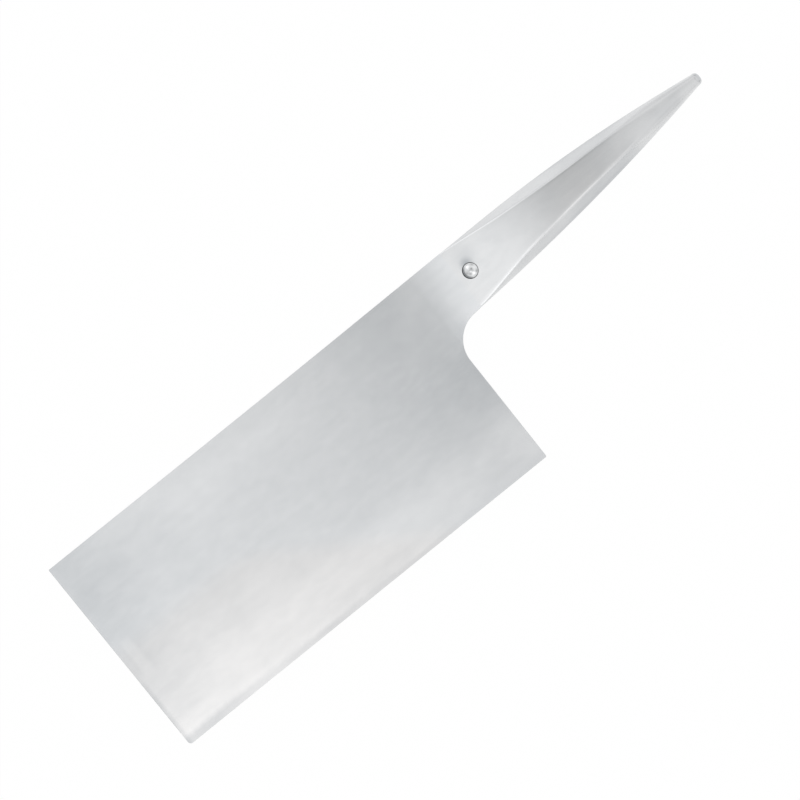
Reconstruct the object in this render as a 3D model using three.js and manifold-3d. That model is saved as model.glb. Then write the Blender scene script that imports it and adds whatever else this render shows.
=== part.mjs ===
// A vegetable cleaver made all of steel: a ground blade with a stub tang, a hollow handle
// of two pressed half shells, one ball through tang and shells, a filling that balances
// the knife and a plug that closes the butt.
// Millimetres. X runs along the spine from the toe to the butt, the cutting edge lies
// towards -Y, and Z is the thickness, measured from the blade's middle plane.
import * as THREE from 'three';
import { mergeVertices, toCreasedNormals } from 'three/addons/utils/BufferGeometryUtils.js';
import Module from 'manifold-3d';

// Blade
const edgeLength = 175.4; // cutting edge, toe to heel
const bladeHeight = 86; // spine to cutting edge
const stockThickness = 2.5; // at the spine
const bevelThickness = 0.7; // left by the flat grind, where the cutting bevel starts
const bevelHeight = 2.2; // height of the cutting bevel
const edgeFlat = 0.1; // thickness at the very edge
const spineCornerRadius = 0.4; // upper corner of the toe
const toeRadius = 1.4; // lower corner of the toe
const heelRadius = 0.6; // lower corner of the heel
const heelLean = 0.87; // degrees that the heel leans back towards the handle
const choilRadius = 12; // finger curve between heel and neck
const neckLength = 4.52; // straight belly between the choil and the handle's seam
const neckHeight = 25.8; // spine to belly at the seam
const bellyClimb = 2.9; // degrees that the belly climbs towards the butt at the seam

// Tang, inside the handle
const tangThickness = 2;
const tangInset = 3.5; // tang's edges in from the spine and the belly at the seam
const tangLength = 30; // seam to the tang's end
const tangRoot = 5; // overlap with the neck that it grows from
const tangCornerRadius = 4;
const tangClearance = 0.3; // slot in the shells round the tang's edges

// Handle, measured from its seam with the neck
const handleLength = 117.7; // seam to the plug
const spineStraight = 25; // pull of the straight spine on the handle's upper line
const spineEndPull = 60; // pull of the butt's slope on the same line
const spineEndSlope = 8.3; // degrees that the upper line falls at the butt
const bellyBend = 61; // seam to where the belly's two end tangents meet
const buttDrop = 9.75; // spine down to the middle of the butt
const buttHeight = 5.1; // upper line to belly at the butt
const gripThickness = 16; // at the crest, the thickest station
const crestSetback = 52; // seam to the crest
const rampStartPull = 22.5; // how slowly the face leaves the blade's plane, from the choil on
const rampCrestPull = 33; // how early the face levels out before the crest
const fallCrestPull = 20; // how long the face stays level behind the crest
const fallButtPull = 25; // how long the face keeps the butt's slope
const faceEndSlope = 5.5; // degrees that the face falls at the butt
const buttThickness = 5.8;
const facetAngle = 52.8; // degrees between the side facets and the blade's plane
const creaseFadeStart = 78; // seam to where the creases begin to fade
const creaseFadeEnd = 104; // seam to where the section is fully round
const shellWall = 1.2;
const clampLength = 15; // solid front of each shell, which grips the tang

// Ball, filling and plug
const pearlDiameter = 8.6;
const pearlSetback = 5.65; // seam to the ball's middle
const pearlDrop = 12.4; // spine down to the ball's middle
const pearlClearance = 0.3; // seat round the ball
const fillSetback = 2; // tang's end to the filling
const fillLength = 56;
const fillClearance = 0.3;
const plugLength = 2.4; // dome that shows behind the shells
const plugFullness = 2.6; // 2 is an ellipse, higher is squarer
const plugStem = 5; // length inside the shells
const plugClearance = 0.3;

// Fineness of the faceting
const stationPitch = 3; // between the handle's sections
const lipSteps = 3;
const facetSteps = 4;
const faceSteps = 8;
const domeSteps = 6;
const arcSegments = 8;
const creaseNormals = THREE.MathUtils.degToRad(20);
const cutMargin = 1; // how far a cutting body runs past what it cuts

const wasm = await Module();
wasm.setup();

const halfStock = stockThickness / 2;
const lean = THREE.MathUtils.degToRad(heelLean);
const climb = THREE.MathUtils.degToRad(bellyClimb);
const facetSlope = THREE.MathUtils.degToRad(facetAngle);

// The heel's line and the belly's line meet at the choil's corner, which the finger curve
// rounds; the seam follows the straight bit of belly behind that curve.
const choilAngle = Math.PI / 2 + lean + climb;
const choilTangent = choilRadius / Math.tan(choilAngle / 2);
const seamSetback = (choilTangent + neckLength) * Math.cos(climb);
const choilCornerY = -neckHeight - seamSetback * Math.tan(climb);
const choilCornerX = edgeLength + (bladeHeight + choilCornerY) * Math.tan(lean);
const seamX = choilCornerX + seamSetback;
const shellEndX = seamX + handleLength;
const crestX = seamX + crestSetback;
const pearlX = seamX + pearlSetback;

// Lines of the handle: upper line and belly as (x, y), half thickness as (x, z)
const buttTop = -buttDrop + buttHeight / 2;
const buttBottom = -buttDrop - buttHeight / 2;
const upperLine = new THREE.CubicBezierCurve(
  new THREE.Vector2(seamX, 0),
  new THREE.Vector2(seamX + spineStraight, 0),
  new THREE.Vector2(
    shellEndX - spineEndPull,
    buttTop + spineEndPull * Math.tan(THREE.MathUtils.degToRad(spineEndSlope)),
  ),
  new THREE.Vector2(shellEndX, buttTop),
);
const bellyLine = new THREE.QuadraticBezierCurve(
  new THREE.Vector2(seamX, -neckHeight),
  new THREE.Vector2(seamX + bellyBend, -neckHeight + bellyBend * Math.tan(climb)),
  new THREE.Vector2(shellEndX, buttBottom),
);
const faceRise = new THREE.CubicBezierCurve(
  new THREE.Vector2(choilCornerX, halfStock),
  new THREE.Vector2(choilCornerX + rampStartPull, halfStock),
  new THREE.Vector2(crestX - rampCrestPull, gripThickness / 2),
  new THREE.Vector2(crestX, gripThickness / 2),
);
const faceFall = new THREE.CubicBezierCurve(
  new THREE.Vector2(crestX, gripThickness / 2),
  new THREE.Vector2(crestX + fallCrestPull, gripThickness / 2),
  new THREE.Vector2(
    shellEndX - fallButtPull,
    buttThickness / 2 + fallButtPull * Math.tan(THREE.MathUtils.degToRad(faceEndSlope)),
  ),
  new THREE.Vector2(shellEndX, buttThickness / 2),
);

// Height of a line at a station; before and behind the line its end heights go on.
function heightOn(line, x) {
  const halvings = 40;
  let low = 0;
  let high = 1;
  for (let step = 0; step < halvings; step += 1) {
    const middle = (low + high) / 2;
    if (line.getPoint(middle).x < x) low = middle;
    else high = middle;
  }
  return line.getPoint(high).y;
}

const seamHalf = heightOn(faceRise, seamX);

// Depth of the wall between a section and the handle's outside: straight up from the face,
// and sideways so that the sloping facets keep the same wall.
function inset(depth) {
  return { wall: depth, rim: depth / Math.sin(facetSlope) };
}

// Upper half of the handle's section, spine to belly: a narrow lip, a sloping facet, the
// flat face, a facet and a lip. Towards the butt the corners draw in to an ellipse.
function halfSection(x, { wall, rim }) {
  const top = heightOn(upperLine, x) - rim;
  const bottom = heightOn(bellyLine, x) + rim;
  const half = heightOn(x < crestX ? faceRise : faceFall, x) - wall;
  const lip = Math.min(seamHalf, half);
  const facet = (half - lip) / Math.tan(facetSlope);
  const middle = (top + bottom) / 2;
  const reach = (top - bottom) / 2;
  const fade = THREE.MathUtils.smoothstep(x, seamX + creaseFadeStart, seamX + creaseFadeEnd);
  const corners = [
    { y: top, z: 0, steps: lipSteps },
    { y: top, z: lip, steps: facetSteps },
    { y: top - facet, z: half, steps: faceSteps },
    { y: bottom + facet, z: half, steps: facetSteps },
    { y: bottom, z: lip, steps: lipSteps },
    { y: bottom, z: 0, steps: 0 },
  ];
  return corners.flatMap((corner, index) => {
    const next = corners[index + 1] ?? corner;
    return Array.from({ length: Math.max(corner.steps, 1) }, (_, step) => {
      const share = step / Math.max(corner.steps, 1);
      const y = THREE.MathUtils.lerp(corner.y, next.y, share);
      const z = THREE.MathUtils.lerp(corner.z, next.z, share);
      const rounding = 1 / Math.hypot((y - middle) / reach, z / half);
      const draw = THREE.MathUtils.lerp(1, rounding, fade);
      return { y: middle + (y - middle) * draw, z: z * draw };
    });
  });
}

function fullSection(x, depth) {
  const upper = halfSection(x, depth);
  const lower = upper.slice(1, -1).reverse();
  return upper.concat(lower.map(({ y, z }) => ({ y, z: -z })));
}

// Skin over rings of points across X, closed at both ends. Each ring runs the same way
// round, spine first and then over the upper side.
function loft(rings) {
  const count = rings[0].points.length;
  const positions = rings.flatMap(({ x, points }) => points.flatMap(({ y, z }) => [x, y, z]));
  const faces = [];
  for (let ring = 0; ring + 1 < rings.length; ring += 1) {
    for (let point = 0; point < count; point += 1) {
      const here = ring * count + point;
      const beside = ring * count + ((point + 1) % count);
      faces.push(here, beside, beside + count);
      faces.push(here, beside + count, here + count);
    }
  }
  const last = (rings.length - 1) * count;
  for (let point = 1; point + 1 < count; point += 1) {
    faces.push(0, point + 1, point);
    faces.push(last, last + point, last + point + 1);
  }
  const geometry = new THREE.BufferGeometry();
  geometry.setAttribute('position', new THREE.Float32BufferAttribute(positions, 3));
  geometry.setIndex(faces);
  return geometry;
}

// Outline through corners that are each rounded to their own radius.
function roundedOutline(corners) {
  const outline = new THREE.Shape();
  corners.forEach(({ x, y, radius }, index) => {
    const corner = new THREE.Vector2(x, y);
    const before = corners.at(index - 1);
    const after = corners[(index + 1) % corners.length];
    const back = new THREE.Vector2(before.x - x, before.y - y).normalize();
    const ahead = new THREE.Vector2(after.x - x, after.y - y).normalize();
    const halfAngle = Math.acos(back.dot(ahead)) / 2;
    const start = corner.clone().addScaledVector(back, radius / Math.tan(halfAngle));
    const end = corner.clone().addScaledVector(ahead, radius / Math.tan(halfAngle));
    if (index === 0) outline.moveTo(start.x, start.y);
    else outline.lineTo(start.x, start.y);
    if (radius === 0) return;
    const inward = back.clone().add(ahead).normalize();
    const centre = corner.clone().addScaledVector(inward, radius / Math.sin(halfAngle));
    const from = start.sub(centre).angle();
    const to = end.sub(centre).angle();
    outline.absarc(centre.x, centre.y, radius, from, to, back.cross(ahead) > 0);
  });
  outline.closePath();
  return outline;
}

// Plate of a given thickness, centred on the blade's plane.
function plate(outline, thickness) {
  const settings = { depth: thickness, bevelEnabled: false, curveSegments: arcSegments };
  return new THREE.ExtrudeGeometry(outline, settings).translate(0, 0, -thickness / 2);
}

// Closed body of a geometry, ready to be joined or cut.
function solid(geometry) {
  const bare = geometry.clone();
  bare.deleteAttribute('normal');
  bare.deleteAttribute('uv');
  const merged = mergeVertices(bare);
  const corners = merged.index.array;
  const triangles = [];
  for (let first = 0; first < corners.length; first += 3) {
    const [a, b, c] = corners.slice(first, first + 3);
    if (a !== b && b !== c && c !== a) triangles.push(a, b, c);
  }
  return new wasm.Manifold(new wasm.Mesh({
    numProp: 3,
    vertProperties: merged.attributes.position.array,
    triVerts: Uint32Array.from(triangles),
  }));
}

// Geometry of a body, shaded flat across its edges.
function surface(body) {
  const { vertProperties, triVerts } = body.getMesh();
  const geometry = new THREE.BufferGeometry();
  geometry.setAttribute('position', new THREE.BufferAttribute(vertProperties, 3));
  geometry.setIndex(new THREE.BufferAttribute(triVerts, 1));
  return toCreasedNormals(geometry, creaseNormals);
}

// The same geometry on the other side of the blade's plane.
function mirrored(geometry) {
  const other = geometry.clone().scale(1, 1, -1);
  const corners = other.index.array;
  for (let first = 0; first < corners.length; first += 3) {
    const swapped = corners[first + 1];
    corners[first + 1] = corners[first + 2];
    corners[first + 2] = swapped;
  }
  return other;
}

// Stations along X, evenly spaced from one end to the other.
function stations(from, to) {
  const count = Math.ceil((to - from) / stationPitch);
  return Array.from({ length: count + 1 }, (_, index) => THREE.MathUtils.lerp(from, to, index / count));
}

// Blade's section: flat-ground from the spine to the bevel, then the cutting bevel
function grindSection(spineHalf, bevelHalf) {
  const upper = [
    { y: cutMargin, z: spineHalf },
    { y: 0, z: spineHalf },
    { y: bevelHeight - bladeHeight, z: bevelHalf },
    { y: -bladeHeight, z: edgeFlat / 2 },
    { y: -bladeHeight - cutMargin, z: edgeFlat / 2 },
  ];
  const lower = upper.map(({ y, z }) => ({ y, z: -z })).reverse();
  return upper.concat(lower);
}

function tangOutline(clearance) {
  const top = -tangInset + clearance;
  const bottom = tangInset - neckHeight - clearance;
  const front = seamX - tangRoot;
  const end = seamX + tangLength + clearance;
  return roundedOutline([
    { x: front, y: bottom, radius: 0 },
    { x: end, y: bottom, radius: tangCornerRadius },
    { x: end, y: top, radius: tangCornerRadius },
    { x: front, y: top, radius: 0 },
  ]);
}

function ball(radius) {
  const around = 40;
  const upAndDown = 24;
  return new THREE.SphereGeometry(radius, around, upAndDown)
    .rotateX(Math.PI / 2)
    .translate(pearlX, -pearlDrop, 0);
}

const pearlSeat = solid(ball(pearlDiameter / 2 + pearlClearance));

// Behind the heel the grind runs out while the neck swells, so that it meets the shells
// with one thickness from spine to belly.
function neckSection(x) {
  const runout = (x - choilCornerX) / seamSetback;
  const bevelHalf = THREE.MathUtils.lerp(bevelThickness / 2, seamHalf, runout);
  return grindSection(heightOn(faceRise, x), bevelHalf);
}

function bladeGeometry() {
  const grind = loft([
    { x: -cutMargin, points: grindSection(halfStock, bevelThickness / 2) },
    ...stations(choilCornerX, seamX).map((x) => ({ x, points: neckSection(x) })),
    { x: seamX + cutMargin, points: grindSection(seamHalf, seamHalf) },
  ]);
  const outline = roundedOutline([
    { x: 0, y: 0, radius: spineCornerRadius },
    { x: 0, y: -bladeHeight, radius: toeRadius },
    { x: edgeLength, y: -bladeHeight, radius: heelRadius },
    { x: choilCornerX, y: choilCornerY, radius: choilRadius },
    { x: seamX, y: -neckHeight, radius: 0 },
    { x: seamX, y: 0, radius: 0 },
  ]);
  const tang = solid(plate(tangOutline(0), tangThickness));
  const ground = solid(plate(outline, gripThickness)).intersect(solid(grind));
  return surface(ground.add(tang).subtract(pearlSeat));
}

// Half of the hollow handle, before the two halves are told apart
function shellBody(mirror) {
  const outside = loft(stations(seamX, shellEndX).map((x) => (
    { x, points: halfSection(x, inset(0)) }
  )));
  const hollow = stations(seamX + clampLength, shellEndX).map((x) => (
    { x, points: fullSection(x, inset(shellWall)) }
  ));
  hollow.push({ x: shellEndX + cutMargin, points: hollow.at(-1).points });
  const slot = plate(tangOutline(tangClearance), tangThickness);
  return solid(mirror ? mirrored(outside) : outside)
    .subtract(solid(loft(hollow)))
    .subtract(solid(slot))
    .subtract(pearlSeat);
}

function fillingGeometry() {
  const start = seamX + tangLength + fillSetback;
  const depth = inset(shellWall + fillClearance);
  return surface(solid(loft(stations(start, start + fillLength).map((x) => (
    { x, points: fullSection(x, depth) }
  )))));
}

// Dome that carries the butt's section on to a rounded end, with a stem in the hollow
function plugGeometry() {
  const butt = fullSection(shellEndX, inset(0));
  const dome = Array.from({ length: domeSteps + 1 }, (_, step) => {
    const turn = (Math.PI / 2) * (step / domeSteps);
    const shrink = step === domeSteps ? 0 : Math.cos(turn) ** (2 / plugFullness);
    const points = butt.map(({ y, z }) => (
      { y: -buttDrop + (y + buttDrop) * shrink, z: z * shrink }
    ));
    return { x: shellEndX + plugLength * Math.sin(turn) ** (2 / plugFullness), points };
  });
  const stemSection = fullSection(shellEndX, inset(shellWall + plugClearance));
  const stem = [
    { x: shellEndX - plugStem, points: stemSection },
    { x: shellEndX + plugLength / 2, points: stemSection },
  ];
  return surface(solid(loft(dome)).add(solid(loft(stem))));
}

function material(colour, roughness, metalness) {
  return new THREE.MeshStandardMaterial({ color: colour, roughness, metalness });
}

function piece(name, geometry, finish) {
  const mesh = new THREE.Mesh(geometry, finish);
  mesh.name = name;
  return mesh;
}

const cleaver = new THREE.Group();
cleaver.add(
  piece('blade', bladeGeometry(), material('#c6c9cb', 0.36, 1)),
  piece('handle_shell_front', surface(shellBody(false)), material('#c2c5c7', 0.38, 1)),
  piece('handle_shell_back', surface(shellBody(true)), material('#c2c5c7', 0.38, 1)),
  piece('pearl', ball(pearlDiameter / 2), material('#dcdee0', 0.1, 1)),
  piece('balance_filling', fillingGeometry(), material('#8d8578', 0.95, 0)),
  piece('butt_plug', plugGeometry(), material('#bcbfc1', 0.34, 1)),
);

// The knife lies flat, with the middle of its underside at the origin.
const box = new THREE.Box3().setFromObject(cleaver);
const middle = box.getCenter(new THREE.Vector3());
cleaver.position.set(-middle.x, -middle.y, -box.min.z);

export default cleaver;
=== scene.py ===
import math
import bmesh
import bpy
from mathutils import Matrix, Vector


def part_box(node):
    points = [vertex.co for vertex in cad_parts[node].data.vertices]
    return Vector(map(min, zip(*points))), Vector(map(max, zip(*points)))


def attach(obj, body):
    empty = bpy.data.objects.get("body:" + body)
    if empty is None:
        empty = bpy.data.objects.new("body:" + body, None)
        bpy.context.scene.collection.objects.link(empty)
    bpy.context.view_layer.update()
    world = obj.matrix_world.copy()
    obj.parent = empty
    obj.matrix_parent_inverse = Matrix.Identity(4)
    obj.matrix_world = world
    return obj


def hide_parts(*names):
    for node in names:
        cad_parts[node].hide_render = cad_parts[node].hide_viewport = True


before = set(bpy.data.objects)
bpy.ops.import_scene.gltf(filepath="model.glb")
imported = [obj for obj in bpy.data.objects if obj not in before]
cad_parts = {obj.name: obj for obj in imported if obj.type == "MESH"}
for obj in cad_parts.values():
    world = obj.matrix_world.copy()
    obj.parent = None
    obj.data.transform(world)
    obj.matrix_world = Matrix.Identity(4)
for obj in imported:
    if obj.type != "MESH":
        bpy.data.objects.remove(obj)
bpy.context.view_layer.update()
scene = bpy.context.scene
scene.view_settings.view_transform = "Standard"

# The knife is drawn in millimetres from the toe's corner on the spine: x to the butt, the
# cutting edge towards -y, z from the blade's middle plane. toRow puts a piece in place.
bladeLow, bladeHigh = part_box("blade")
shellLow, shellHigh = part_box("handle_shell_front")
ballLow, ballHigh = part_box("pearl")
midPlane = (bladeLow.z + bladeHigh.z) / 2
toRow = Matrix.Translation((bladeLow.x, bladeHigh.y, midPlane)) @ Matrix.Scale(0.001, 4)
fromRow = toRow.inverted()
seamX = (fromRow @ shellLow).x  # where the handle starts
shellEndX = (fromRow @ shellHigh).x
pearlAt = fromRow @ ((ballLow + ballHigh) / 2)
pearlRadius = (fromRow @ ballHigh).z
near = 1e-4  # closer than this counts as the same place
touch = 1e-5
print("frame read: seam at", round(seamX, 2), "mm, handle's end at", round(shellEndX, 2), "mm")


def mixed(a, b, share):
    return a + (b - a) * share


def eased(low, high, x):
    share = min(max((x - low) / (high - low), 0), 1)
    return share * share * (3 - 2 * share)


def steepness(degrees):
    return math.tan(math.radians(degrees))


def bezierAt(points, t):
    while len(points) > 1:
        points = [(mixed(a[0], b[0], t), mixed(a[1], b[1], t)) for a, b in zip(points, points[1:])]
    return points[0]


def heightOn(line, x):
    low, high = 0, 1
    for halving in range(40):
        middle = (low + high) / 2
        if bezierAt(line, middle)[0] < x:
            low = middle
        else:
            high = middle
    return bezierAt(line, high)[1]


# Sizes that blade and handle share
knife = {
    "edgeLength": 175.4,
    "bladeHeight": 86.0,
    "halfStock": 1.25,
    "neckHeight": 25.8,
    "choilX": 176.297,  # behind the heel, where the sides start to swell
    "crestSetback": 52,  # from the seam to the thickest station
    "gripHalf": 8.0,
    "buttHalf": 2.9,
    "riseStartPull": 22.5,  # how slowly the face leaves the blade's plane
    "riseCrestPull": 33,
    "fallCrestPull": 20,
    "fallButtPull": 25,
    "fallButtSlope": 5.5,  # degrees
}
crestX = seamX + knife["crestSetback"]
faceRise = [
    (knife["choilX"], knife["halfStock"]),
    (knife["choilX"] + knife["riseStartPull"], knife["halfStock"]),
    (crestX - knife["riseCrestPull"], knife["gripHalf"]),
    (crestX, knife["gripHalf"]),
]
faceFall = [
    (crestX, knife["gripHalf"]),
    (crestX + knife["fallCrestPull"], knife["gripHalf"]),
    (shellEndX - knife["fallButtPull"],
     knife["buttHalf"] + knife["fallButtPull"] * steepness(knife["fallButtSlope"])),
    (shellEndX, knife["buttHalf"]),
]
seamHalf = heightOn(faceRise, seamX)


class Wire:
    # a socket that sums like a number; node() adds any other node to the same tree
    def __init__(self, tree, socket=None):
        self.tree = tree
        self.socket = socket

    def node(self, kind, settings=None, inputs=None, out=0):
        made = self.tree.nodes.new(kind)
        for key, value in (settings or {}).items():
            if key == "stops":
                while len(made.color_ramp.elements) < len(value):
                    made.color_ramp.elements.new(0.5)
                for element, (place, tone) in zip(made.color_ramp.elements, value):
                    element.position = place
                    element.color = (tone, tone, tone, 1)
            else:
                setattr(made, key, value)
        for key, value in (inputs or {}).items():
            if isinstance(value, Wire):
                self.tree.links.new(value.socket, made.inputs[key])
            else:
                made.inputs[key].default_value = value
        return Wire(self.tree, made.outputs[out] if made.outputs else None)

    def calc(self, operation, a, b=0.0):
        return self.node("ShaderNodeMath", {"operation": operation}, {0: a, 1: b})

    def __add__(self, other):
        return self.calc("ADD", self, other)

    def __radd__(self, other):
        return self.calc("ADD", other, self)

    def __sub__(self, other):
        return self.calc("SUBTRACT", self, other)

    def __rsub__(self, other):
        return self.calc("SUBTRACT", other, self)

    def __mul__(self, other):
        return self.calc("MULTIPLY", self, other)

    def __rmul__(self, other):
        return self.calc("MULTIPLY", other, self)

    def __truediv__(self, other):
        return self.calc("DIVIDE", self, other)

    def __rtruediv__(self, other):
        return self.calc("DIVIDE", other, self)

    def __pow__(self, other):
        return self.calc("POWER", self, other)

    def __rpow__(self, other):
        return self.calc("POWER", other, self)


def newFinish(name):
    finish = bpy.data.materials.new(name)
    finish.use_nodes = True
    finish.node_tree.nodes.clear()
    return finish, Wire(finish.node_tree)


def toeAndSpine(wire, spot):
    # millimetres from the toe and down from the spine, at a point of the surface
    shift = toRow.translation
    x = wire.node("ShaderNodeSeparateXYZ", inputs={0: spot}, out="X")
    y = wire.node("ShaderNodeSeparateXYZ", inputs={0: spot}, out="Y")
    return (x - shift.x) * 1000, (shift.y - y) * 1000


def blended(wire, share, a, b, settings=None):
    # a Mix node's colours are its sockets 6 and 7, and its colour result is output 2
    return wire.node("ShaderNodeMix", dict(settings or {}, data_type="RGBA"), {0: share, 6: a, 7: b}, out=2)


def ramped(wire, value, low, high):
    return wire.node("ShaderNodeMapRange", {"interpolation_type": "SMOOTHSTEP"}, {
        "Value": value, "From Min": low, "From Max": high})


def toned(wire, x, y, tones):
    # each tone has its share, then the spans along x and along y over which it comes in;
    # a span's third value leans it
    total = 0
    for share, alongX, alongY in tones.values():
        for value, other, spans in ((x, y, alongX), (y, x, alongY)):
            for low, high, *lean in spans:
                share = share * ramped(wire, value + other * lean[0] if lean else value, low, high)
        total = total + share
    return total


def spotted(wire, x, y, spots):
    # round spots: place, the radius where each starts, the radius where it is full, its share
    total = 0
    for atX, atY, starts, full, share in spots:
        away = wire.calc("SQRT", (x - atX) ** 2 + (y - atY) ** 2)
        total = total + share * ramped(wire, away, starts, full)
    return total


# Steel: one way of making it, with a dictionary for each finish. Scales are per metre, and
# a share says how far clouds, mottle and streaks go between the dull colour and the pale one
steelLook = {
    "pale": (0.850, 0.855, 0.860, 1),
    "dull": (0.640, 0.654, 0.667, 1),
    "darkest": -1.0,  # how far past dull a tone may go
    "roughness": 0.25,
    "roughnessSpread": 0.06,
    "cloudScale": (18, 42, 30),
    "cloudDetail": 3,
    "cloudShare": 0.09,
    "mottleScale": (120, 230, 160),
    "mottleDetail": 4,
    "mottleShare": 0.12,
    "streakScale": (14, 1600, 800),  # drawn out along the knife
    "streakDetail": 5,
    "streakShare": 0.03,
    "grainRoughness": 0.6,
    "bump": 0.03,
    "bumpDepth": 0.0002,
}
rimLook = dict(steelLook, pale=(0.70, 0.71, 0.72, 1), dull=(0.56, 0.57, 0.58, 1), roughness=0.36,
               streakScale=(900, 900, 600), streakShare=0.3, bump=0.05)
pearlLook = dict(steelLook, pale=(0.90, 0.91, 0.92, 1), dull=(0.52, 0.53, 0.54, 1), roughness=0.21,
                 roughnessSpread=0.04, cloudScale=(300, 300, 300), mottleScale=(900, 900, 900),
                 streakScale=(700, 700, 700), bump=0.01)
noiseSwing = 0.25  # how far noise mostly strays from its middle


def makeSteel(name, look, shade=None, cast=None):
    finish, wire = newFinish(name)
    spot = wire.node("ShaderNodeTexCoord", out="Object")

    def grainOf(kind):
        drawn = wire.node("ShaderNodeMapping", inputs={"Vector": spot, "Scale": look[kind + "Scale"]})
        noise = wire.node("ShaderNodeTexNoise", inputs={
            "Vector": drawn, "Scale": 1, "Detail": look[kind + "Detail"],
            "Roughness": look["grainRoughness"]})
        return noise, (noise - 0.5) * (look[kind + "Share"] / noiseSwing)

    clouds, cloudTone = grainOf("cloud")
    mottle, mottleTone = grainOf("mottle")
    streaks, streakTone = grainOf("streak")
    tone = 0.5 + cloudTone + mottleTone + streakTone
    # shade adds a piece's painted reflections, shade and highlights to its tone
    if shade:
        tone = tone + shade(wire, spot)
    tone = wire.calc("MAXIMUM", tone, look["darkest"])
    colour = blended(wire, tone, look["dull"], look["pale"], {"clamp_factor": False})
    if cast:
        colour = blended(wire, 1.0, colour, cast(wire, spot), {"blend_type": "MULTIPLY"})
    rough = look["roughness"] + (0.5 - clouds) * look["roughnessSpread"]
    grain = wire.node("ShaderNodeBump", inputs={
        "Height": streaks, "Strength": look["bump"], "Distance": look["bumpDepth"]})
    steel = wire.node("ShaderNodeBsdfPrincipled", inputs={
        "Base Color": colour, "Metallic": 1.0, "Roughness": rough, "Normal": grain})
    wire.node("ShaderNodeOutputMaterial", inputs={"Surface": steel})
    return finish


# Painted light on the blade: where it is painted paler or duller to stand in for reflections and shade,
# and where its cool grey turns neutral
bladePaintedLightAndTint = {
    "tones": {
        "toe": (-0.46, [(32, 6)], [(66, 46)]),
        "toeStreak": (0.20, [(2.5, 4.5), (9, 6.5)], [(36, 42), (58, 52)]),
        "toeEdge": (0.10, [(3, 0.5)], [(40, 24)]),
        "toeLow": (-0.30, [(36, 6)], [(56, 66), (80, 72)]),
        "toeRim": (-0.60, [(2.6, 0)], [(48, 66)]),
        "toeSide": (-0.13, [(12, 24), (60, 42)], [(2, 10), (58, 36)]),
        "middleTop": (0.12, [(48, 66), (122, 104)], [(4, 11), (28, 17)]),
        "middleLow": (0.12, [(44, 60), (104, 84)], [(42, 56), (74, 64)]),
        "heel": (-0.34, [(120, 165)], []),
        "heelDark": (-0.13, [(156, 174)], [(26, 46), (62, 52)]),
        "heelTop": (0.10, [(154, 164), (182, 174)], [(6, 12), (28, 20)]),
        "heelMiddle": (0.12, [(122, 142)], [(50, 60), (84, 76)]),
        "heelLow": (0.18, [(158, 173)], [(57, 66)]),
        "heelCorner": (0.15, [(166, 175)], [(72, 82)]),
        "spineHeel": (0.40, [(162, 175), (185, 177)], [(18, 3)]),
        "choil": (-0.18, [(177.5, 180.5), (186, 182.5)], [(23.5, 26.5)]),
        "neck": (0.34, [(176.5, 188)], []),
        "spine": (0.28, [(22, 55), (150, 95)], [(26, 4)]),
        # ground and groundMiddle paint the reflection's brightness above the edge
        "ground": (0.40, [], [(58, 72)]),
        "groundMiddle": (-0.20, [(68, 82), (120, 106)], [(75, 81), (85, 83)]),
    },
    "cool": (0.992, 1, 1.007, 1),
    "neutral": (1.012, 1, 0.992, 1),
    "neutralTones": {"lightGrind": (1, [], [(36, 48), (-2, 10, -0.63)])},
}
# Dull ground band along the edge: how wide and how deep in tone it is at places from the toe
edgeBand = {
    "widths": [(0, 2.9), (20, 3.1), (46, 2.5), (69, 2.1), (92, 2.0), (115, 1.45), (138, 2.1), (160, 2.4),
               (175, 2.9)],
    "mostWidth": 4.0,  # the colour ramp holds shares of this
    "depths": [(0, 0.74), (16, 0.92), (31, 0.46), (46, 0.33), (69, 0.62), (115, 0.37), (160, 0), (172, 0.22)],
    "mostDepth": 1.0,
    "wanderScale": (330, 0, 0),
    "wanderDetail": 2,
    "wander": 0.55,
    "fade": (1.65, 0.55),  # in widths above the edge
}


def bladeShade(wire, spot):
    x, y = toeAndSpine(wire, spot)
    along = x / knife["edgeLength"]

    def alongEdge(kind, most):
        stops = [(place / knife["edgeLength"], value / most) for place, value in edgeBand[kind]]
        return wire.node("ShaderNodeValToRGB", {"stops": stops}, {"Fac": along}) * most

    width = alongEdge("widths", edgeBand["mostWidth"])
    depth = alongEdge("depths", edgeBand["mostDepth"])
    drawn = wire.node("ShaderNodeMapping", inputs={"Vector": spot, "Scale": edgeBand["wanderScale"]})
    wander = wire.node("ShaderNodeTexNoise", inputs={
        "Vector": drawn, "Scale": 1, "Detail": edgeBand["wanderDetail"]})
    above = (knife["bladeHeight"] - y) / width + (wander - 0.5) * edgeBand["wander"]
    # painted reflections and shade from the tones, less the duller band along the edge
    return toned(wire, x, y, bladePaintedLightAndTint["tones"]) - depth * ramped(wire, above, *edgeBand["fade"])


def bladeCast(wire, spot):
    neutral = toned(wire, *toeAndSpine(wire, spot), bladePaintedLightAndTint["neutralTones"])
    return blended(wire, neutral, bladePaintedLightAndTint["cool"], bladePaintedLightAndTint["neutral"])
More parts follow.
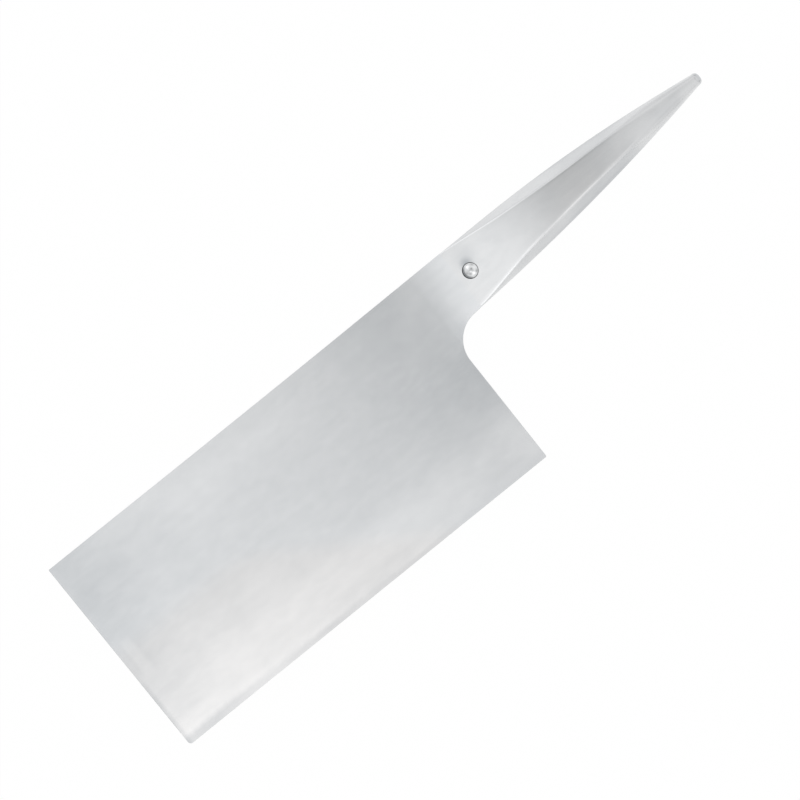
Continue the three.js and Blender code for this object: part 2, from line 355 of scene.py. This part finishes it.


# Painted light on the handle: shares that paint its reflections and shade paler or duller, a painted
# highlight along a crease and painted shade beside the pearl. The creases beside its face lean against the
# spine
upperLean, lowerLean = -0.045, 0.109
underUpperCrease = (-6.6, -5.8, upperLean)
overUpperCrease = (-5.8, -6.6, upperLean)
overLowerCrease = (44.9, 43.9, lowerLean)
underLowerCrease = (44.2, 45.4, lowerLean)
handlePaintedLight = {
    "tones": {
        "crestFace": (-0.30, [(250, 262), (280, 267)], [underUpperCrease, overLowerCrease]),
        "crestStart": (-0.17, [(204, 216), (246, 236)], [underUpperCrease, (17, 6)]),
        "faceLow": (0.3, [(234, 246), (276, 268)], [(33, 42, lowerLean), overLowerCrease]),
        "faceEnd": (0.08, [(268, 276), (292, 284)], [(5, 7), (13, 11)]),
        "upperFacet": (-0.22, [(238, 252), (282, 270)], [overUpperCrease]),
        "upperRim": (-0.20, [(232, 242), (286, 276)], [(-17.7, -18.8, -0.08)]),
        # a painted highlight along the lower crease
        "creaseHighlight": (0.39, [(212, 224), (280, 270)], [(43.3, 44.2, lowerLean), (45.2, 44.4, lowerLean)]),
        "lowerSide": (0.22, [(190, 200)], [underLowerCrease]),
        "lowerMiddle": (-0.20, [(206, 216), (244, 232)], [underLowerCrease]),
        "lowerFacet": (-0.52, [(232, 250), (282, 268)], [(44.0, 45.0, lowerLean)]),
        "lowerRim": (-0.25, [(216, 226), (284, 276)], [(48.6, 49.8, 0.117)]),
        "endFace": (-0.2, [(282, 290), (304, 298)], [(7.8, 10), (14, 12.5)]),
        "end": (0.13, [(300, 305), (310, 309)], []),
        "tip": (-0.5, [(309.6, 311.2)], []),
    },
    # painted shade on the steel beside the pearl, towards the spine
    "shadeByPearl": [(198.6, 6.8, 7.5, 0, -0.45), (197.6, 9.6, 3.8, 0, -1.2)],
}


def handleShade(wire, spot):
    x, y = toeAndSpine(wire, spot)
    # painted reflections, shade and highlight, and the painted shade beside the pearl
    return toned(wire, x, y, handlePaintedLight["tones"]) + spotted(wire, x, y, handlePaintedLight["shadeByPearl"])


# Painted light on the pearl, from its middle: painted shade towards the toe, a painted shadow round its rim,
# a painted dark reflection near its middle and a painted highlight
pearlPaintedLight = {
    "level": 0.30,
    "tones": {"toeSide": (-0.22, [(0, -1.6)], [])},
    # a painted dark reflection near the middle, and a painted highlight towards the edge
    "spots": [(-0.4, -0.35, 1.5, 0.2, -0.6), (-0.5, 1.5, 1.3, 0.3, 0.5)],
    # a painted shadow round the rim, darkest towards the toe
    "rim": (0, 0, 2.4, 2.85, 1),
    "rimTones": {"toeRim": (-1.2, [(-0.8, -2.4, -0.1)], []), "buttRim": (-0.5, [(0.8, 2.4, -0.3)], [])},
}


def pearlShade(wire, spot):
    x, y = toeAndSpine(wire, spot)
    right, down = x - pearlAt.x, y + pearlAt.y
    # painted shade, shadow, dark reflection and highlight on the pearl
    rim = spotted(wire, right, down, [pearlPaintedLight["rim"]])
    tone = pearlPaintedLight["level"] + toned(wire, right, down, pearlPaintedLight["tones"])
    tone = tone + spotted(wire, right, down, pearlPaintedLight["spots"])
    return tone + rim * toned(wire, right, down, pearlPaintedLight["rimTones"])


# Filling: packed grains
fillingLook = {
    "pale": (0.56, 0.50, 0.41, 1),
    "dark": (0.30, 0.26, 0.21, 1),
    "grainScale": 900,
    "grainShare": 0.7,
    "driftScale": 160,
    "driftDetail": 4,
    "driftShare": 0.4,
    "roughness": 0.9,
    "roughnessSpread": 0.15,
    "bump": 0.6,
    "bumpDepth": 0.0006,
}


def makeGrains(name, look):
    finish, wire = newFinish(name)
    spot = wire.node("ShaderNodeTexCoord", out="Object")
    grains = wire.node("ShaderNodeTexVoronoi", inputs={"Vector": spot, "Scale": look["grainScale"]})
    drift = wire.node("ShaderNodeTexNoise", inputs={
        "Vector": spot, "Scale": look["driftScale"], "Detail": look["driftDetail"]})
    share = grains * look["grainShare"] + drift * look["driftShare"]
    colour = blended(wire, share, look["pale"], look["dark"])
    grit = wire.node("ShaderNodeBump", inputs={
        "Height": 1 - grains, "Strength": look["bump"], "Distance": look["bumpDepth"]})
    body = wire.node("ShaderNodeBsdfPrincipled", inputs={
        "Base Color": colour, "Normal": grit,
        "Roughness": look["roughness"] - drift * look["roughnessSpread"]})
    wire.node("ShaderNodeOutputMaterial", inputs={"Surface": body})
    return finish


bladeSteel = makeSteel("bladeSteel", steelLook, bladeShade, bladeCast)
rimSteel = makeSteel("rimSteel", rimLook)
handleSteel = makeSteel("handleSteel", steelLook, handleShade)
pearlSteel = makeSteel("pearlSteel", pearlLook, pearlShade)
fillingGrains = makeGrains("fillingGrains", fillingLook)
print("finishes made")


def smoothMesh(mesh, sharpAngle):
    mesh.shade_smooth()
    mesh.set_sharp_from_angle(angle=math.radians(sharpAngle))


def makePiece(bm, name, finishes, sharpAngle):
    bmesh.ops.transform(bm, matrix=toRow, verts=bm.verts)
    mesh = bpy.data.meshes.new(name)
    bm.to_mesh(mesh)
    bm.free()
    for finish in finishes:
        mesh.materials.append(finish)
    smoothMesh(mesh, sharpAngle)
    piece = bpy.data.objects.new(name, mesh)
    scene.collection.objects.link(piece)
    return piece


def cutBall(piece, ball, sharpAngle):
    # takes the ball's room out of a piece and keeps the result as its mesh
    cut = piece.modifiers.new("ballSeat", "BOOLEAN")
    cut.operation = "DIFFERENCE"
    cut.solver = "EXACT"
    cut.object = ball
    bpy.context.view_layer.update()
    seated = bpy.data.meshes.new_from_object(piece.evaluated_get(bpy.context.evaluated_depsgraph_get()))
    piece.modifiers.remove(cut)
    piece.data = seated
    seated.name = piece.name
    smoothMesh(seated, sharpAngle)


def pulledOut(bm, faces):
    # extrudes faces, drops the ones left inside and gives the new faces and their corners
    pulled = bmesh.ops.extrude_face_region(bm, geom=faces)["geom"]
    bmesh.ops.delete(bm, geom=[f for f in faces if f.is_valid], context="FACES")
    return ([g for g in pulled if isinstance(g, bmesh.types.BMFace)],
            [g for g in pulled if isinstance(g, bmesh.types.BMVert)])


# Blade
blade = {
    "grindCurve": 1.4,  # 1 is a flat grind, above it the sides belly a little towards the edge
    "bevelHalf": 0.22,
    "bevelHeight": 2.2,
    "edgeHalf": 0.05,
    "toeTop": (0.4, 4),  # setback of a rounded corner and its steps
    "toeLow": (1.4, 8),
    "heelLow": (0.6, 6),
    "choil": (11.8, 40),  # finger curve
    "choilDrop": 27.1,  # spine to where heel and belly would meet without the finger curve
    "heelTrim": 0.37,
    "spineDip": 0.26,  # the spine is a little hollow along the blade
    "dipFull": (75, 115),  # between these the hollow is full
    "ease": 0.3,  # rounding of the rim
    "easeSteps": 3,
    "easeEnd": 5,  # above the cutting edge
    "lengthSlices": (5.5, 31),  # spacing and count
    "neckSlices": (0.66, 23),
    "heightSlices": (4.0, 20),
    "tangHalf": 1.0,
    "tangInset": 3.5,
    "tangLength": 30,
    "sharpAngle": 12,
}


def bevelWidth(x):
    stops = edgeBand["widths"]
    for (x0, w0), (x1, w1) in zip(stops, stops[1:]):
        if x <= x1:
            return mixed(w0, w1, eased(x0, x1, x))
    return stops[-1][1]


def groundHalf(x, y):
    line = bevelWidth(x) - knife["bladeHeight"]
    runout = min(max((x - knife["choilX"]) / (seamX - knife["choilX"]), 0), 1)
    spineHalf = heightOn(faceRise, x)
    lowHalf = mixed(blade["bevelHalf"], seamHalf, runout)
    depth = min(y / line, 1)
    half = mixed(spineHalf, lowHalf, max(depth, 0) ** blade["grindCurve"])
    if y < line:
        half = mixed(half, blade["edgeHalf"], (line - y) / (line + knife["bladeHeight"]))
    return half


def buildBlade():
    height = knife["bladeHeight"]
    bm = bmesh.new()
    outline = [
        (0, 0, blade["toeTop"]),
        (0, -height, blade["toeLow"]),
        (knife["edgeLength"], -height, blade["heelLow"]),
        (knife["choilX"] - blade["heelTrim"], -blade["choilDrop"], blade["choil"]),
        (seamX, -knife["neckHeight"], None),
        (seamX, 0, None),
    ]
    corners = [bm.verts.new((x, y, 0)) for x, y, rounding in outline]
    bm.faces.new(corners)
    for corner, (x, y, rounding) in zip(corners, outline):
        if rounding:
            bmesh.ops.bevel(bm, geom=[corner], offset=rounding[0], offset_type="OFFSET",
                            segments=rounding[1], profile=0.5, affect="VERTICES", material=-1)

    def sliceAt(at, normal):
        bmesh.ops.bisect_plane(bm, geom=bm.verts[:] + bm.edges[:] + bm.faces[:], dist=touch,
                               plane_co=at, plane_no=normal)

    for start, (spacing, count) in ((0, blade["lengthSlices"]), (knife["choilX"], blade["neckSlices"])):
        for step in range(1, count + 1):
            sliceAt((start + step * spacing, 0, 0), (1, 0, 0))
    spacing, count = blade["heightSlices"]
    for step in range(1, count + 1):
        sliceAt((0, -step * spacing, 0), (0, 1, 0))
    for vert in bm.verts:
        if vert.co.y > -near:
            dip = eased(0, blade["dipFull"][0], vert.co.x) * eased(seamX, blade["dipFull"][1], vert.co.x)
            vert.co.y = -blade["spineDip"] * dip
    bevelStart = blade["bevelHeight"] - height
    sliceAt((0, bevelStart, 0), (0, 1, 0))
    for vert in bm.verts:  # the bevel's upper edge wanders a little
        if abs(vert.co.y - bevelStart) < near:
            vert.co.y = bevelWidth(vert.co.x) - height

    # the flat outline rises to half the ground plate
    risen = bmesh.ops.extrude_face_region(bm, geom=bm.faces[:])["geom"]
    topFaces = {g for g in risen if isinstance(g, bmesh.types.BMFace)}
    for vert in (g for g in risen if isinstance(g, bmesh.types.BMVert)):
        vert.co.z = groundHalf(vert.co.x, vert.co.y)
    left = [f for f in bm.faces if all(abs(v.co.z) < near for v in f.verts)]
    bmesh.ops.delete(bm, geom=left, context="FACES_ONLY")
    rim = [e for e in bm.edges if len(e.link_faces) == 2 and len(topFaces.intersection(e.link_faces)) == 1
           and min(v.co.y for v in e.verts) > blade["easeEnd"] - height
           and min(v.co.x for v in e.verts) < seamX - near]
    rounded = bmesh.ops.bevel(bm, geom=rim, offset=blade["ease"], offset_type="OFFSET", profile=0.5,
                              segments=blade["easeSteps"], affect="EDGES", material=-1, clamp_overlap=True)
    for face in rounded["faces"]:
        face.material_index = 1
    bmesh.ops.mirror(bm, geom=bm.verts[:] + bm.edges[:] + bm.faces[:], merge_dist=near, axis="Z")
    bmesh.ops.remove_doubles(bm, verts=bm.verts, dist=near)

    # stub tang, drawn out of the neck's end
    end = [f for f in bm.faces if all(abs(v.co.x - seamX) < near for v in f.verts)]
    for length in (0, blade["tangLength"]):
        end, verts = pulledOut(bm, end)
        for vert in verts:
            vert.co.x = seamX + length
            vert.co.y = min(max(vert.co.y, blade["tangInset"] - knife["neckHeight"]), -blade["tangInset"])
            vert.co.z = min(max(vert.co.z, -blade["tangHalf"]), blade["tangHalf"])
    bmesh.ops.dissolve_degenerate(bm, dist=touch, edges=bm.edges)
    bmesh.ops.recalc_face_normals(bm, faces=bm.faces)
    return makePiece(bm, "blade_visual", [bladeSteel, rimSteel], blade["sharpAngle"])


# Handle: a half skin drawn over its sections, then given its wall
handle = {
    "spinePull": 25,  # how long the upper line follows the spine
    "spineEndPull": 60,
    "spineEndSlope": 8.3,  # degrees
    "bellyBend": 61,  # from the seam to where the belly's end tangents meet
    "bellyClimb": 2.9,  # degrees
    "buttTop": -7.2,
    "buttBottom": -12.3,
    "facetAngle": 52.8,
    "softStart": 57.96,  # from the seam to where the creases begin to soften
    "fadeStart": 78,  # from the seam, where they begin to melt into a round section
    "fadeEnd": 104,
    "crispness": 60,  # higher draws the creases sharper
    "softness": 22,  # the same at the butt end of the creases
    "fullness": 3.2,  # of the rounded end, 2 is an ellipse
    "wall": 0.8,
    "stations": 120,
    "lipSteps": 4,
    "facetSteps": 9,
    "faceSteps": 16,
    "sharpAngle": 30,
}
upperLine = [
    (seamX, 0),
    (seamX + handle["spinePull"], 0),
    (shellEndX - handle["spineEndPull"],
     handle["buttTop"] + handle["spineEndPull"] * steepness(handle["spineEndSlope"])),
    (shellEndX, handle["buttTop"]),
]
bellyLine = [
    (seamX, -knife["neckHeight"]),
    (seamX + handle["bellyBend"],
     handle["bellyBend"] * steepness(handle["bellyClimb"]) - knife["neckHeight"]),
    (shellEndX, handle["buttBottom"]),
]


def gripSection(x):
    top, bottom = heightOn(upperLine, x), heightOn(bellyLine, x)
    half = heightOn(faceRise if x < crestX else faceFall, x)
    lip = min(seamHalf, half)
    slope = math.radians(handle["facetAngle"])
    facet = (half - lip) / math.tan(slope)
    middle, reach = (top + bottom) / 2, (top - bottom) / 2
    corners = [(reach, 0), (reach, lip), (reach - facet, half),
               (facet - reach, half), (-reach, lip), (-reach, 0)]
    counts = [handle[k] for k in ("lipSteps", "facetSteps", "faceSteps", "facetSteps", "lipSteps")]
    fadeStart, fadeEnd, softStart = [seamX + handle[k] for k in ("fadeStart", "fadeEnd", "softStart")]
    crisp = mixed(handle["crispness"], handle["softness"], eased(softStart, fadeEnd, x))
    fade, full = eased(fadeStart, fadeEnd, x), handle["fullness"]
    across, up = math.sin(slope), math.cos(slope)
    facetReach = across * reach + up * lip
    points = []
    for (a, b), (c, d), count in zip(corners, corners[1:], counts):
        for step in range(count):
            share = (1 - math.cos(math.pi * step / count)) / 2
            y, z = mixed(a, c, share), mixed(b, d, share)
            walls = [abs(y) / reach, z / half, (across * abs(y) + up * z) / facetReach]
            draw = sum(w ** crisp for w in walls) ** (-1 / crisp)
            oval = ((abs(y) / reach) ** full + (z / half) ** full) ** (-1 / full)
            draw = mixed(draw, oval, fade)
            points.append((middle + y * draw, z * draw))
    points.append((bottom, 0))
    return points


def buildShell(name, side):
    stations = handle["stations"]
    places = [mixed(seamX, shellEndX, s / stations) for s in range(stations + 1)]
    sections = [gripSection(x) for x in places]
    across = len(sections[0]) - 1
    bm = bmesh.new()
    bmesh.ops.create_grid(bm, x_segments=stations, y_segments=across, size=0.5)
    for vert in bm.verts:
        station, point = round((vert.co.x + 0.5) * stations), round((0.5 - vert.co.y) * across)
        y, z = sections[station][point]
        vert.co = (places[station], y, side * z)
    bmesh.ops.recalc_face_normals(bm, faces=bm.faces)
    if sum(f.normal.z * f.calc_area() for f in bm.faces) * side < 0:
        bmesh.ops.reverse_faces(bm, faces=bm.faces)
    bmesh.ops.solidify(bm, geom=bm.faces[:], thickness=handle["wall"])
    bmesh.ops.recalc_face_normals(bm, faces=bm.faces)
    return makePiece(bm, name, [handleSteel], handle["sharpAngle"])


# Pearl: a ball, and a slightly larger one that cuts its seat
pearl = {"gap": 0.19, "turns": 72, "steps": 36}


def buildBall(name, radius):
    bm = bmesh.new()
    turns = [math.pi * s / pearl["steps"] for s in range(pearl["steps"] + 1)]
    profile = [bm.verts.new((radius * math.sin(turn), 0, radius * math.cos(turn))) for turn in turns]
    edges = [bm.edges.new(pair) for pair in zip(profile, profile[1:])]
    bmesh.ops.spin(bm, geom=profile + edges, cent=(0, 0, 0), axis=(0, 0, 1), angle=2 * math.pi,
                   steps=pearl["turns"], use_merge=True)
    bmesh.ops.remove_doubles(bm, verts=bm.verts, dist=near)
    bmesh.ops.recalc_face_normals(bm, faces=bm.faces)
    bmesh.ops.translate(bm, vec=pearlAt, verts=bm.verts)
    return makePiece(bm, name, [pearlSteel], handle["sharpAngle"])


# Plug: the shells' end section domed over, with a stem
plug = {"dome": 2.4, "fullness": 2.6, "steps": 10, "around": 64, "stemShare": 0.45, "stem": 5.0}


def buildPlug():
    buttMiddle = (handle["buttTop"] + handle["buttBottom"]) / 2
    bm = bmesh.new()
    bmesh.ops.create_circle(bm, cap_ends=True, radius=1, segments=plug["around"])
    bmesh.ops.rotate(bm, verts=bm.verts, cent=(0, 0, 0), matrix=Matrix.Rotation(math.pi / 2, 3, "Y"))
    full = handle["fullness"]
    for vert in bm.verts:
        vert.co *= (abs(vert.co.y) ** full + abs(vert.co.z) ** full) ** (-1 / full)
    bmesh.ops.scale(bm, vec=(1, handle["buttTop"] - buttMiddle, knife["buttHalf"]), verts=bm.verts)
    cap = bm.faces[:]
    size = 1
    for step in range(1, plug["steps"]):
        turn = math.pi / 2 * step / plug["steps"]
        shrink, rise = math.cos(turn) ** (2 / plug["fullness"]), math.sin(turn) ** (2 / plug["fullness"])
        pulled = bmesh.ops.extrude_face_region(bm, geom=cap)["geom"]
        if step > 1:  # the first face stays, as the dome's back
            bmesh.ops.delete(bm, geom=[f for f in cap if f.is_valid], context="FACES")
        cap = [g for g in pulled if isinstance(g, bmesh.types.BMFace)]
        for vert in (g for g in pulled if isinstance(g, bmesh.types.BMVert)):
            vert.co = (plug["dome"] * rise, vert.co.y * shrink / size, vert.co.z * shrink / size)
        size = shrink
    bmesh.ops.poke(bm, faces=cap)
    for vert in bm.verts:  # the poked middle is the dome's tip
        if abs(vert.co.y) + abs(vert.co.z) < near and vert.co.x > plug["dome"] / 2:
            vert.co.x = plug["dome"]
    back = [f for f in bm.faces if all(abs(v.co.x) < near for v in f.verts)]
    for narrow, length in ((plug["stemShare"], 0), (1, plug["stem"])):
        back, verts = pulledOut(bm, back)
        for vert in verts:
            vert.co = (-length, vert.co.y * narrow, vert.co.z * narrow)
    bmesh.ops.recalc_face_normals(bm, faces=bm.faces)
    bmesh.ops.translate(bm, vec=(shellEndX, buttMiddle, 0), verts=bm.verts)
    return makePiece(bm, "butt_plug_visual", [handleSteel], handle["sharpAngle"])


bladePiece = buildBlade()
shellFront = buildShell("handle_front", 1)
shellBack = buildShell("handle_back", -1)
seat = buildBall("seatCutter", pearlRadius + pearl["gap"])
for piece, shape in ((bladePiece, blade), (shellFront, handle), (shellBack, handle)):
    cutBall(piece, seat, shape["sharpAngle"])
bpy.data.objects.remove(seat)
pearlPiece = buildBall("pearl_visual", pearlRadius)
plugPiece = buildPlug()
print("pieces made")

for piece, node, slot in ((bladePiece, "blade", "blade_steel"),
                          (shellFront, "handle_shell_front", "handle_steel"),
                          (shellBack, "handle_shell_back", "handle_steel"),
                          (pearlPiece, "pearl", "polished_steel"),
                          (plugPiece, "butt_plug", "handle_steel")):
    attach(piece, "root")
    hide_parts(node)
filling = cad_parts["balance_filling"]
for materialSlot in filling.material_slots:
    materialSlot.material = fillingGrains

# Floor: white to the camera. The steel sees plain white on the spine's side, fading over the
# middle to the lit paper on the edge's side
floorLook = {
    "size": 6.0,
    "paper": (0.92, 0.92, 0.92, 1),
    "shown": 0.99,
    "edgeSide": 0.0,
    "spineSide": 0.9,
    "fade": 0.06,
}
white = (1, 1, 1, 1)


def buildFloor():
    bm = bmesh.new()
    bmesh.ops.create_grid(bm, x_segments=1, y_segments=1, size=floorLook["size"] / 2)
    mesh = bpy.data.meshes.new("floor")
    bm.to_mesh(mesh)
    bm.free()
    finish, wire = newFinish("whitePaper")
    camera, glossy, through = [wire.node("ShaderNodeLightPath", out=kind) for kind in (
        "Is Camera Ray", "Is Glossy Ray", "Is Transmission Ray")]
    spot = wire.node("ShaderNodeTexCoord", out="Object")
    across = wire.node("ShaderNodeSeparateXYZ", inputs={0: spot}, out="Y")
    mirrored = wire.node("ShaderNodeMapRange", inputs={
        "Value": across, "From Min": -floorLook["fade"], "From Max": floorLook["fade"],
        "To Min": floorLook["edgeSide"], "To Max": floorLook["spineSide"]})
    seen = wire.calc("MAXIMUM", camera * floorLook["shown"], wire.calc("MAXIMUM", glossy, through) * mirrored)
    paper = wire.node("ShaderNodeBsdfDiffuse", inputs={"Color": floorLook["paper"]})
    glow = wire.node("ShaderNodeEmission", inputs={"Color": white, "Strength": 1})
    both = wire.node("ShaderNodeMixShader", inputs={0: seen, 1: paper, 2: glow})
    wire.node("ShaderNodeOutputMaterial", inputs={"Surface": both})
    mesh.materials.append(finish)
    floor = bpy.data.objects.new("floor", mesh)
    scene.collection.objects.link(floor)


# Soft tent: a base level with wide glows and shades, each with its lean from straight up
# towards the butt and towards the spine in degrees, its half width and its strength. Most rows
# were picked by a least-squares fit to the photograph and then rounded, the rest set one by one
tent = {
    "base": 0.92,
    "least": 0.05,
    "glows": [
        (-14, 50, 12, 0.8),
        (-12, -8, 6, 0.75),
        (-20, 22, 8, 0.6),
        (-20, -8, 6, 0.5),
        (8, -50, 8, 0.4),
        (24, 3, 6, 0.15),
        (4, -8, 6, -0.25),
        (-12, 0, 6, -0.25),
        (0, -68, 11, -0.25),
        (0, 68, 11, -0.25),
        (4, 8, 6, -0.4),
        (12, -16, 6, -0.4),
        (42, 42, 13, -0.4),
        (-60, 0, 13, -0.4),
        (42, -42, 13, -0.5),
        (-28, -28, 12, -0.5),
        (12, 8, 6, -0.7),
    ],
}


def buildTent():
    world = bpy.data.worlds.new("tent")
    scene.world = world
    world.use_nodes = True
    world.node_tree.nodes.clear()
    wire = Wire(world.node_tree)
    towards = wire.node("ShaderNodeTexCoord", out="Generated")
    level = tent["base"]
    for leanX, leanY, width, strength in tent["glows"]:
        lean = math.radians(math.hypot(leanX, leanY))
        axis = Vector((leanX, leanY, 0)).normalized() * math.sin(lean) + Vector((0, 0, math.cos(lean)))
        facing = wire.node("ShaderNodeVectorMath", {"operation": "DOT_PRODUCT"},
                           {0: towards, 1: axis}, out="Value")
        power = math.log(0.5) / math.log(math.cos(math.radians(width)))
        level = level + strength * wire.calc("MAXIMUM", facing, 0.0) ** power
    level = wire.calc("MAXIMUM", level, tent["least"])
    lit = wire.node("ShaderNodeBackground", inputs={"Color": level, "Strength": 1})
    plain = wire.node("ShaderNodeBackground", inputs={"Color": white, "Strength": 1})
    seen = wire.node("ShaderNodeLightPath", out="Is Camera Ray")
    both = wire.node("ShaderNodeMixShader", inputs={0: seen, 1: lit, 2: plain})
    wire.node("ShaderNodeOutputWorld", inputs={"Surface": both})


# Faint lamp on the edge's side: place over the floor, size and power
edgeLamp = {"at": (0.0, -0.7, 0.9), "size": 0.6, "power": 0.1}


def buildLamp():
    light = bpy.data.lights.new("edgeLamp", "AREA")
    light.shape = "DISK"
    light.size = edgeLamp["size"]
    light.energy = edgeLamp["power"]
    holder = bpy.data.objects.new("edgeLamp", light)
    holder.location = edgeLamp["at"]
    holder.rotation_euler = Vector(edgeLamp["at"]).to_track_quat("Z", "Y").to_euler()
    scene.collection.objects.link(holder)


# Camera straight above: the place it stands over and its sensor in millimetres, its distance
# and the width it sees in metres, its turn in degrees
view = {"over": (145.32, -33.92, 0), "distance": 1.0, "width": 0.306, "turn": -38.97, "sensor": 36}


def buildCamera():
    data = bpy.data.cameras.new("camera")
    data.sensor_width = view["sensor"]
    data.lens = view["sensor"] * view["distance"] / view["width"]
    camera = bpy.data.objects.new("camera", data)
    camera.location = toRow @ Vector(view["over"]) + Vector((0, 0, view["distance"]))
    camera.rotation_euler = (0, 0, math.radians(view["turn"]))
    scene.collection.objects.link(camera)
    scene.camera = camera


buildFloor()
buildTent()
buildLamp()
buildCamera()
print("floor, light and camera made")
